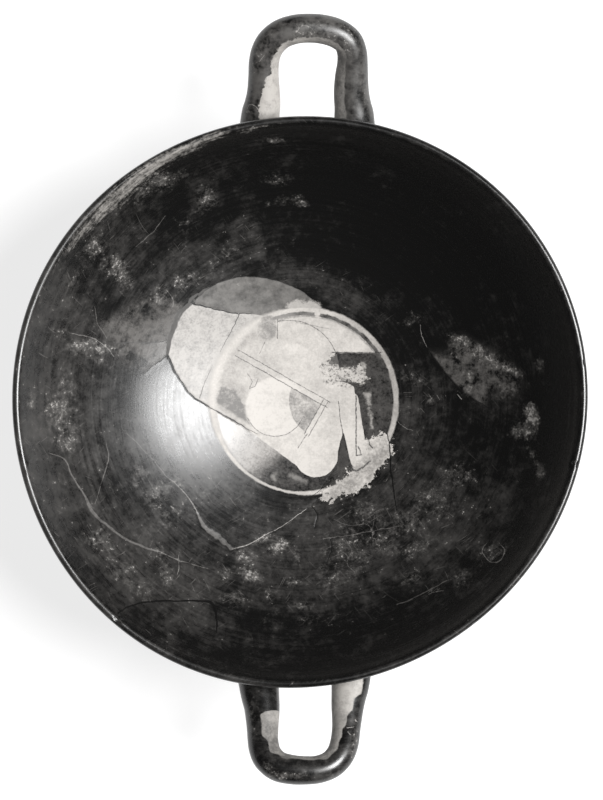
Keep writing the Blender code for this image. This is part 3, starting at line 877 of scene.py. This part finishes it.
# ---------------------------------------------------------------------------
# Finish: black gloss brushed on over the whole cup, except where the pale clay is left bare for
# the picture in the middle, its ring, the handles' inner faces and the foot's edge and resting
# ring. It is one fired skin, but the floor round the picture has a material of its own.
class Tone:
    """A shader socket. Its operators add Math nodes, and node() adds one of any other type."""

    def __init__(self, socket):
        self.socket = socket

    def node(self, kind, settings, sockets, output=0):
        made = self.socket.id_data.nodes.new("ShaderNode" + kind)
        for name, value in settings.items():
            setattr(made, name, value)
        for name, value in sockets.items():
            if isinstance(value, Tone):
                made.id_data.links.new(value.socket, made.inputs[name])
            else:
                made.inputs[name].default_value = value
        return Tone(made.outputs[output])

    def math(self, operation, *others):
        return self.node("Math", {"operation": operation}, dict(enumerate((self,) + others)))

    def __add__(self, other):
        return self.math("ADD", other)

    __radd__ = __add__

    def __mul__(self, other):
        return self.math("MULTIPLY", other)

    __rmul__ = __mul__

    def __sub__(self, other):
        return self.math("SUBTRACT", other)

    def __rsub__(self, other):
        return self.node("Math", {"operation": "SUBTRACT"}, {0: other, 1: self})

    def __neg__(self):
        return self * -1

    def __abs__(self):
        return self.math("ABSOLUTE")

    def __and__(self, other):
        """The space inside both of two shapes."""
        return self.math("MAXIMUM", other)

    def __or__(self, other):
        """The space inside either of two shapes."""
        return self.math("MINIMUM", other)

    def most(self, other):
        return self.math("MAXIMUM", other)

    def vector(self, operation, *others):
        output = 1 if operation in ("LENGTH", "DISTANCE", "DOT_PRODUCT") else 0
        sockets = dict(enumerate((self,) + others))
        return self.node("VectorMath", {"operation": operation}, sockets, output)

    def scaled(self, factor):
        return self.node("VectorMath", {"operation": "SCALE"}, {0: self, 3: factor})

    def part(self, axis):
        return self.node("SeparateXYZ", {}, {0: self}, axis)

    def ramp(self, low, high, first=0.0, last=1.0):
        """A smooth change from first to last as the value goes from low to high."""
        sockets = {1: low, 2: high, 3: first, 4: last}
        return self.node("MapRange", {"interpolation_type": "SMOOTHSTEP"}, {0: self, **sockets})

    def filled(self, edge=0.14):
        """1 inside a shape and 0 outside it, with a soft edge."""
        return self.ramp(-edge, edge, 1.0, 0.0)

    def grain(self, size, detail=3.0, roughness=0.6, output=0):
        """Cloudy noise with lumps of about this many millimetres."""
        sockets = {"Vector": self, "Scale": 1 / size, "Detail": detail, "Roughness": roughness}
        return self.node("TexNoise", {}, sockets, output)


def painted(under, over, amount):
    """One colour, or number of four, going over to another."""
    sockets = {0: amount, 6: under, 7: over}
    return start.node("Mix", {"data_type": "RGBA", "clamp_factor": True}, sockets, 2)


def noted(name, output=2):
    return start.node("Attribute", {"attribute_name": name}, {}, output)


def round_axis(outward, reach, across, out):
    """Where a grain is read to be drawn out in rings round the cup's axis."""
    sockets = {0: outward.part(0) * across, 1: outward.part(1) * across, 2: reach * out}
    return outward.node("CombineXYZ", {}, sockets)


def disc(spot, x, y, radius):
    return spot.vector("DISTANCE", (x, y, 0)) - radius


def left_of(spot, ax, ay, bx, by):
    """The half plane on the left of the way from a to b."""
    length = math.hypot(bx - ax, by - ay)
    across = ((by - ay) / length, (ax - bx) / length, 0)
    return spot.vector("DOT_PRODUCT", across) - (ax * across[0] + ay * across[1])


def limb(spot, ax, ay, bx, by, first, last=None):
    """A rod from a to b, round at both ends, first and last being its half widths there."""
    along = (bx - ax, by - ay, 0)
    from_a = spot.vector("SUBTRACT", (ax, ay, 0))
    share = from_a.vector("DOT_PRODUCT", along) * (1 / (along[0] ** 2 + along[1] ** 2))
    share = share.node("Clamp", {}, {0: share})
    way = spot.node("CombineXYZ", {}, {0: along[0], 1: along[1]})
    gap = from_a.vector("SUBTRACT", way.scaled(share)).vector("LENGTH")
    return gap - first if last is None else gap - (share * (last - first) + first)


def strokes(spot, rows):
    """Brush lines through points, each with its half width."""
    lines = None
    for half, points in rows:
        for a, b in zip(points, points[1:]):
            line = limb(spot, *a, *b, half)
            lines = line if lines is None else lines | line
    return lines


# The picture, generic and in broad areas: a crouching figure behind a round shield, in a ring.
# Lengths are in mm from the ring's centre.
RING_MIDDLE = (2.0, -0.25, 0)
PICTURE_REACH = 47
FIELD_RADIUS = 35.6
RING_RADIUS = 37.9
HALF = (0.5, 0.5, 0.5)
DRAWN = (
    (0.17, ((1.1, -13.5), (-2.6, -19.3))),
    (0.16, ((-11.1, 26), (-11.1, 34.4))),
    (0.08, ((-3.3, 32.7), (11, 29.8))),
    (0.22, ((11.5, 20.3), (31.5, 20.2))),
    (0.19, ((14.1, 0), (14.9, -7.5), (16.1, -14.1), (17.6, -20.6), (19, -28.2))),
    (0.28, ((21.4, 2.1), (21.4, -17.4))),
    (0.3, ((22.6, 1.5), (23.6, -2.8), (25.3, -10.6), (27.1, -18.0), (28.2, -19.2))),
    (0.26, ((21.4, -17.8), (21.5, -22.4), (23.6, -22.0), (22.2, -18.6))),
    (0.38, ((19.3, -28.0), (21.7, -28.6), (24.3, -27.2), (27.3, -24.7))),
    (0.13, ((-23.5, 11.5), (-21.5, 8.2), (-22.8, 5.2), (-20.4, 6.2), (-19.2, 9.2))),
    (0.14, ((12.6, 8.6), (18.0, 7.9), (21.1, 5.9), (22.2, 2.6))),
    (0.22, ((30.4, -13.6), (32.4, -11.4))),
    (0.1, ((-16.2, 24.6), (-18.6, 19.6))),
)


def picture(place, broad_off, coarse_off, fine_off, crisp_off):
    """Where the clay is bare, and what lies on it: washes, lines, stains and thinned gloss, and a
    painted highlight that lightens the gloss inside the ring towards the left.
    """
    flat = place.vector("MULTIPLY", (1, 1, 0))
    wander = flat.grain(2.2, 1.0, 0.6, 1).vector("SUBTRACT", HALF)
    spot = flat.vector("SUBTRACT", RING_MIDDLE).vector("ADD", wander.scaled(0.6))
    torn = flat.grain(5.0, 3.0, 0.7, 1).vector("SUBTRACT", HALF)
    ragged = spot.vector("ADD", torn.scaled(8.0))
    frayed = spot.vector("ADD", torn.scaled(2.5))
    u = spot.part(0)
    v = spot.part(1)
    from_middle = spot.vector("LENGTH")
    smear = (-u).ramp(4, 28) * v.ramp(-24, 4)
    lower_left = (-u).ramp(-6, 22) * (-v).ramp(4, 26)

    field = from_middle - FIELD_RADIUS - smear * 1.6
    shield = disc(spot, -6.5, 12.5, 21)
    plate = disc(spot, -12.1, -2.3, 12.2)
    knee = disc(spot, 15.3, 0.6, 7.4)
    below = left_of(spot, -34, -4, -3, -26.7)
    leg_side = left_of(spot, 22.9, -4, 22.4, 8) & left_of(spot, 26.6, -19, 22.9, -4)
    mass = below & leg_side & (v - 21) & (-(v + 13.3)) & ((u - 8.5) | (v - 2) | knee)
    lap = below & (v + 12) & left_of(spot, 14.0, -20, 16.4, -12) & (-(v + 22.2))
    round_end = disc(spot, 4.8, -22.2, 9.1)
    tip = below & (v + 20) & (u - 4.8) & (-(v + 30))
    leg = limb(spot, 18.0, 0.0, 22.6, -24, 4.5, 3.6)
    block = -(v - 20)
    figure = (mass | lap | round_end | tip | leg | shield | block) & field
    wedge = left_of(spot, 15.9, -12.4, 13.4, -27.8) & left_of(spot, 18.6, -27.6, 16.0, -12.4)
    wedge = wedge & (-(v + 28.5))

    abraded = limb(ragged, 9, -38.6, 23, -32.5, 2.2, 3.8)
    abraded = abraded | limb(ragged, 23, -31, 31.5, -19, 4.6, 4.8)
    abraded = abraded | limb(frayed, 27, -17.5, 32, -14.5, 2.0, 1.2)
    abraded = abraded + crisp_off * 9
    scuffs = limb(frayed, 26.2, 2.8, 26.8, -1, 1.1, 0.5)
    scuffs = scuffs | limb(frayed, 27.2, -3, 28.0, -11, 0.4, 0.2)
    scuffs = scuffs | limb(frayed, 24.2, 15.5, 25.0, 10.5, 0.8, 0.4)
    scuffs = scuffs | limb(ragged, 35, -33, 38.6, -30.4, 0.9, 1.3)
    scuffs = scuffs | limb(frayed, -5, 39.6, 4.6, 39.4, 2.0)
    scuffs = scuffs + crisp_off * 4
    rubs = limb(frayed, -6, -30.4, 0.6, -33.4, 0.5) | limb(frayed, -12.6, -30.6, -12.0, -32.0, 0.9)
    rubs = rubs + crisp_off * 3
    crumbs = limb(frayed, 9, 11.0, 22.6, 11.4, 3.2, 3.4) + crisp_off * 8 + coarse_off * 9
    pits = limb(frayed, 12.8, 17.2, 20.5, 17.4, 2.6, 2.2) + crisp_off * 10
    holes = (fine_off * -5 + crisp_off * -3 + 0.42).most(limb(spot, 11, 12, 22, 9.5, 5.2, 4.2))
    holes = holes.most(-limb(spot, 4, 10, 4, 4, 4))

    low = (-v).ramp(22, 37) * (-u).ramp(-12, 6)
    ring_half = 1.02 + smear * 0.7 - lower_left * 0.28 - low * 0.34 + coarse_off * 0.9
    ring_edge = 0.46 + smear * 1.0 - low * 0.14
    ring = (abs(from_middle - RING_RADIUS) - ring_half).ramp(-ring_edge, ring_edge, 1.0, 0.0)
    bare = figure.filled() * (1 - wedge.filled() * 0.92)
    bare = bare.most(crumbs.filled(0.8) * (v - 20).filled(0.3) * 0.9)
    bare = bare * (1 - pits.filled(0.7) * 0.85) * (1 - holes.filled(0.5) * 0.8)
    bare = bare.most(ring * (1 - low * 0.25)).most(abraded.filled(0.6))
    gap = (abs(from_middle - 36.4) - 0.5 + coarse_off * 1.4) & -(v - 12) & -(u + 13)
    gap = gap & -disc(spot, 5.6, 36.6, 1.7)
    bare = bare * (1 - gap.filled(0.3) * 0.85)
    thinly = (abs(from_middle - 36.2) - 1.2).filled(0.4) * (v - 15).ramp(0, 6)
    bare = bare.most(thinly * (0.2 + coarse_off * 1.6)).most(disc(spot, 5.4, 36.3, 1.3).filled(0.4))
    bare = bare.most(scuffs.filled(0.8) * 0.62).most(rubs.filled(0.9) * 0.3)

    staff_axis = left_of(spot, -27, 19.6, 9.4, -1.1)
    lines = (abs(abs(staff_axis) - 1.3) - 0.16) & limb(spot, -27.0, 19.6, 9.4, -1.1, 1.7)
    bar_axis = left_of(spot, 8.6, -0.25, 1.1, -13.5)
    lines = lines | ((abs(abs(bar_axis) - 1.0) - 0.16) & limb(spot, 8.6, -0.25, 1.1, -13.5, 1.2))
    lines = lines | ((abs(shield) - 0.16) & (-(v - 19.6)) & (-(u + 11)))
    lines = lines | ((abs(plate) - 0.13) & (v + 7)) | strokes(spot, DRAWN)
    drawn = lines.filled(0.14) * (0.8 + fine_off * 2.2)

    device = disc(spot, 9.5, 0.2, 15.8) & left_of(spot, 9.4, -2.6, -27.0, 18.1)
    device = device & left_of(spot, 0.2, -13.2, 7.6, 0.2)
    beside = limb(frayed, -14.9, 31.4, -15.4, 28.6, 4.0, 3.6) & (u + 11.3)
    at_left = limb(ragged, -31.6, 0.4, -27.5, -8, 5.2, 6.0) & -(plate - 0.4)
    at_left = at_left & (from_middle - 36.4) & left_of(spot, -43, 4, -12, -16.5)
    inner_band = (abs(from_middle - 35.9) - 1.0 + coarse_off * 2.2) & -(v - 10) & -(u + 12)
    inner_band = inner_band & -disc(spot, 5.8, 36.0, 1.7)
    wash = (device.filled(0.2) * 0.82).most(beside.filled(0.7) * 0.75)
    wash = wash.most(at_left.filled(0.9) * 1.15)
    wash = wash.most(inner_band.filled(0.4) * 0.9) * (0.72 + coarse_off * 2.2 + fine_off * 1.0)

    at_right = u.ramp(4, 30)
    ground = smear * (1 - plate.filled(0.8)) * (1 - ring)
    scoured = abraded.filled(1.5)
    stain = 0.29 - plate.filled(0.6) * 0.2 + ground * 0.3 - (-v).ramp(-2, 14) * 0.12
    stain = stain.most(scoured * ((from_middle - 33).ramp(-6, 6) * 0.5 + 0.2))
    stain = stain.most(ring * (at_right * 0.6 + 0.05))
    stain = stain + scoured * (crisp_off * 2.2 + coarse_off * 1.0)
    stain = stain - ring * smear * (0.12 + coarse_off * 1.2)
    stain = stain + broad_off * 0.9 + coarse_off * 1.3 + fine_off * 0.8
    in_ring = (from_middle - 37).filled(0.8)
    thinned = 0.58 + at_right * 0.12 + coarse_off * 3.0 + crisp_off * 1.4 + fine_off * 1.4
    thinned = in_ring * thinned.most(wedge.filled(0.2) * (0.85 + coarse_off * 2.0))
    # Painted highlight: the gloss inside the ring is painted paler towards the left, where the
    # softbox's glare falls.
    painted_highlight = (u * -0.6 + v * 0.8).ramp(-15.5, -6.5) * (-u).ramp(0, 9) * in_ring
    return bare, wash, drawn, stain, thinned, painted_highlight * (0.9 + coarse_off * 1.4 + fine_off)


GLOSS = (0.0030, 0.0029, 0.0028, 1)
FILM = (0.050, 0.0475, 0.045, 1)
THIN_GLOSS = (0.054, 0.0512, 0.0486, 1)
CLAY = (0.480, 0.455, 0.426, 1)
CLAY_STAIN = (0.205, 0.193, 0.180, 1)
WASH = (0.13, 0.124, 0.117, 1)
LINE = (0.035, 0.033, 0.031, 1)
HANDLE_CLAY = (0.35, 0.332, 0.31, 1)
# darkest handle clay: stain, and painted shade
HANDLE_CLAY_STAIN_AND_SHADE = (0.085, 0.081, 0.076, 1)
DULLED_GLOSS = (0.125, 0.119, 0.112, 1)
# painted highlight colour for the gloss inside the ring
HIGHLIGHT_PAINT = (0.30, 0.285, 0.27, 1)
GREY_GLOSS = (0.095, 0.090, 0.085, 1)
HANDLED_GLOSS = (0.090, 0.0855, 0.081, 1)
HAIRLINE = (0.16, 0.152, 0.144, 1)
RUBBED_CLAY = (0.36, 0.342, 0.32, 1)
SCALED_CLAY = (0.32, 0.305, 0.288, 1)
GREY_SHERD = (0.138, 0.1315, 0.124, 1)
PALE_SHERD = (0.350, 0.333, 0.314, 1)
PLASTER_DUST = (0.40, 0.38, 0.36, 1)
SEAM_DARK = (0.003, 0.0029, 0.0028, 1)
PUTTY_GREY = (0.060, 0.057, 0.054, 1)
LENS_GREY = (0.165, 0.157, 0.149, 1)
SHERD_EDGE = 0.16
finishes = []
for finish_name, has_picture in (("black_gloss", False), ("gloss_and_picture", True)):
    skin = bpy.data.materials.new(finish_name)
    skin.use_nodes = True
    finishes.append(skin)
    shader = skin.node_tree.nodes["Principled BSDF"]
    start = Tone(skin.node_tree.nodes.new("ShaderNodeTexCoord").outputs["Object"])
    place = start.scaled(1 / MM)
    outward = place.vector("MULTIPLY", (1, 1, 0))
    reach = outward.vector("LENGTH")
    outward = outward.vector("NORMALIZE")
    coarse_off = place.grain(5.0, 4.0, 0.74) - 0.5
    fine_off = place.grain(0.9, 2.0, 0.7) - 0.5
    broad_off = place.grain(16.0, 3.0, 0.6) - 0.5
    crisp_off = place.grain(1.7, 3.0, 0.8) - 0.5

    worn = noted("worn")
    haze = noted("haze")
    pale = noted("pale").ramp(-SHERD_EDGE, SHERD_EDGE)
    grey = noted("grey").ramp(-SHERD_EDGE, SHERD_EDGE)
    brush_off = round_axis(outward, reach, 1.3, 0.9).grain(1.0, 3.0, 0.75) - 0.5
    matt = noted("matt")
    film = haze * 0.62 + matt * (0.5 + broad_off * 1.6 + coarse_off * 1.4)
    film = film + broad_off * 0.9 + coarse_off * 1.1 + crisp_off * 0.5 + brush_off * 0.5
    film = film.ramp(0.08, 1.05)
    dulled = (worn * 0.95 + coarse_off * 1.8 + crisp_off * 1.2).ramp(0.18, 1.2)
    dulled = dulled * worn.ramp(0.02, 0.3) * (0.72 + crisp_off * 1.8 + fine_off * 1.8)
    scaled_off = (worn * 0.42 + fine_off * 1.3 + crisp_off * 1.9 + coarse_off * 1.2).ramp(0.52, 0.66)
    scaled_off = scaled_off * worn.ramp(0.05, 0.4)
    specks = (crisp_off + coarse_off * 0.5 + haze * 0.05).ramp(0.22, 0.30) * haze.ramp(0, 0.6)
    colour = painted(GLOSS, FILM, film)
    colour = painted(colour, DULLED_GLOSS, dulled * 0.9)

    relief = brush_off * 0.32 + fine_off * 0.25 - scaled_off * 0.5
    rough = 0.265 + film * 0.12 + brush_off * 0.14 + fine_off * 0.10 + dulled * 0.12
    rough = rough + grey * 0.12 + pale * 0.22 + scaled_off * 0.3 + matt * 0.03

    if has_picture:
        bare, wash, drawn, stain, thinned, painted_highlight = picture(
            place, broad_off, coarse_off, fine_off, crisp_off
        )
        colour = painted(colour, THIN_GLOSS, thinned)
        # painted highlight on the gloss inside the ring, towards the left
        colour = painted(colour, HIGHLIGHT_PAINT, painted_highlight)
        clay = painted(CLAY, CLAY_STAIN, stain)
        clay = painted(clay, WASH, wash)
        clay = painted(clay, LINE, drawn)
        bare = bare * noted("inside")
    else:
        height = place.part(2)
        scratch_way = place.vector(
            "ADD", place.grain(30.0, 0.0, 0.5, 1).vector("SUBTRACT", HALF).scaled(14.0)
        )
        scratches = 0.0
        for turn in (35, -50):
            c, d = math.cos(math.radians(turn)), math.sin(math.radians(turn))
            along = scratch_way.vector("DOT_PRODUCT", (c / 9, d / 9, 0))
            aside = scratch_way.vector("DOT_PRODUCT", (-d / 0.5, c / 0.5, 0))
            hair = start.node("CombineXYZ", {}, {0: along, 1: aside, 2: turn})
            scratches = hair.grain(1.0, 1.0, 0.5).ramp(0.70, 0.76) + scratches
        colour = painted(colour, HAIRLINE, scratches * haze.ramp(0.1, 0.7) * 0.35)
        greyed = matt * (0.30 + broad_off * 2.4 + coarse_off * 2.0 + crisp_off * 0.9)
        colour = painted(colour, HANDLED_GLOSS, greyed)
        # The rubbed band under the lip is streaked round it. A sherd and a patch are thin and grey.
        streaks = round_axis(outward, reach, 7.0, 0.8).grain(1.0, 4.0, 0.75) - 0.5
        rubbed = noted("rubbed")
        rub = (rubbed * 0.70 + streaks * 2.0 + crisp_off * 1.3).ramp(0.28, 1.12)
        rub = rub * rubbed.ramp(0, 0.3)
        colour = painted(colour, RUBBED_CLAY, rub * 0.8)
        thin_patch = noted("thin_patch")
        mottle = broad_off * 1.5 + coarse_off * 3.0 + crisp_off * 1.4
        thin_patch = thin_patch + thin_patch.ramp(0, 0.38) * mottle
        colour = painted(colour, GREY_GLOSS, thin_patch)
        # Bare clay elsewhere: the handles' inner faces, the foot's edge and its resting ring.
        flaked = coarse_off * 0.3 + crisp_off * 0.35 + fine_off * 0.15
        handle_bare = noted("bare_side") + flaked * (matt * 0.9 + 0.25)
        handle_bare = handle_bare.ramp(-0.05, 0.05)
        foot_edge = (reach - 44.6).ramp(-0.15, 0.15) * (height - 6.6 + coarse_off * 0.8).filled(0.2)
        resting_ring = (height - 1.6).filled(0.2) * (reach - 46).filled(0.1)
        bare = handle_bare.most(foot_edge).most(resting_ring)
        # The handles' bare clay is painted darker by stain, and on the far handle's right leg by
        # painted shade.
        clay_stain_and_shade = noted("clay_stain_and_shade") + coarse_off * 1.6 + crisp_off * 0.7 + fine_off * 0.4
        clay = painted(HANDLE_CLAY, HANDLE_CLAY_STAIN_AND_SHADE, clay_stain_and_shade)

    colour = painted(colour, GREY_SHERD, grey * (0.72 + coarse_off * 2.0))
    pale_amount = pale * (0.86 + coarse_off * 1.2 + fine_off * 0.9 + crisp_off * 0.5)
    colour = painted(colour, PALE_SHERD, pale_amount)
    colour = painted(colour, SCALED_CLAY, scaled_off * 0.62)
    colour = painted(colour, PLASTER_DUST, specks * 0.55)
    colour = painted(colour, clay, bare)

    gap = noted("seam", 1).vector("LENGTH")
    seam_tone = noted("seam_tone")
    seam = gap.ramp(0.7, 1.4, 1, 0) * noted("seam_cover")
    seam = seam * (1.05 + coarse_off * (seam_tone * 3.4 + 0.5) + fine_off * seam_tone * 2.0)
    filling = painted(SEAM_DARK, PUTTY_GREY, seam_tone.ramp(0.14, PUTTY))
    filling = painted(filling, LENS_GREY, seam_tone.ramp(PUTTY, LENS))
    filling = painted(filling, PLASTER_DUST, seam_tone.ramp(LENS, PLASTER))
    colour = painted(colour, filling, seam)

    rough = rough * (1 - bare) + bare * 0.62
    rough = rough * (1 - seam) + seam * (seam_tone.ramp(0, 0.08) * 0.42 + 0.24)
    shader.inputs["Specular IOR Level"].default_value = 0.58
    bump = start.node("Bump", {}, {"Height": relief, "Strength": 0.6, "Distance": 0.00006})
    skin.node_tree.links.new(colour.socket, shader.inputs["Base Color"])
    skin.node_tree.links.new(rough.socket, shader.inputs["Roughness"])
    skin.node_tree.links.new(bump.socket, shader.inputs["Normal"])

cup.data.materials.clear()
for skin in finishes:
    cup.data.materials.append(skin)
centres = np.array([face.center for face in cup.data.polygons])
inner, outer, plan = wall_sides(centres)
on_picture = inner & (np.hypot(*(plan - RING_MIDDLE[:2]).T) < PICTURE_REACH)
cup.data.polygons.foreach_set("material_index", on_picture.astype(np.int32))
cup.data.shade_smooth()
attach(cup, "root")
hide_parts("kylix")


# ---------------------------------------------------------------------------
# Studio: a pale floor, one large soft light high on the right, and a camera straight above.
FLOOR_REACH = 7.0
CAMERA_HEIGHT = 1.5
CAMERA_PLACE = (0.00084, 0.00032)
WIDTH_SEEN = 0.2412
bpy.ops.object.select_all(action="DESELECT")
bpy.ops.mesh.primitive_circle_add(vertices=96, radius=FLOOR_REACH, fill_type="NGON")
floor = bpy.context.object
floor.name = "floor"
paper = bpy.data.materials.new("white_paper")
paper.use_nodes = True
paper_shader = paper.node_tree.nodes["Principled BSDF"]
paper_shader.inputs["Base Color"].default_value = (0.30, 0.30, 0.30, 1)
paper_shader.inputs["Roughness"].default_value = 0.9
paper_shader.inputs["Specular IOR Level"].default_value = 0.1
paper_shader.inputs["Emission Color"].default_value = (1, 1, 1, 1)
paper_shader.inputs["Emission Strength"].default_value = 0.8
floor.data.materials.append(paper)

KEY_TILT = math.radians(30)
KEY_TURN = math.radians(3)
KEY_DISTANCE = 2.2
key_way = Vector((
    math.sin(KEY_TILT) * math.cos(KEY_TURN), math.sin(KEY_TILT) * math.sin(KEY_TURN),
    math.cos(KEY_TILT),
))
key = bpy.data.lights.new("softbox", "AREA")
key.shape = "DISK"
key.size = 1.10
key.energy = 97
key_object = bpy.data.objects.new("softbox", key)
key_object.location = key_way * KEY_DISTANCE + Vector((0, 0, FLOOR_Z))
key_object.rotation_mode = "QUATERNION"
key_object.rotation_quaternion = key_way.to_track_quat("Z", "Y")
bpy.context.scene.collection.objects.link(key_object)

world = bpy.data.worlds.new("studio")
world.use_nodes = True
world.node_tree.nodes["Background"].inputs["Color"].default_value = (0.055, 0.055, 0.055, 1)
bpy.context.scene.world = world

lens = bpy.data.cameras.new("camera")
lens.sensor_fit = "HORIZONTAL"
lens.sensor_width = 36
lens.lens = lens.sensor_width * CAMERA_HEIGHT / WIDTH_SEEN
lens.clip_end = 60
camera = bpy.data.objects.new("camera", lens)
camera.location = (*CAMERA_PLACE, HEIGHT + CAMERA_HEIGHT)
bpy.context.scene.collection.objects.link(camera)
bpy.context.scene.camera = camera
bpy.context.scene.view_settings.view_transform = "Standard"
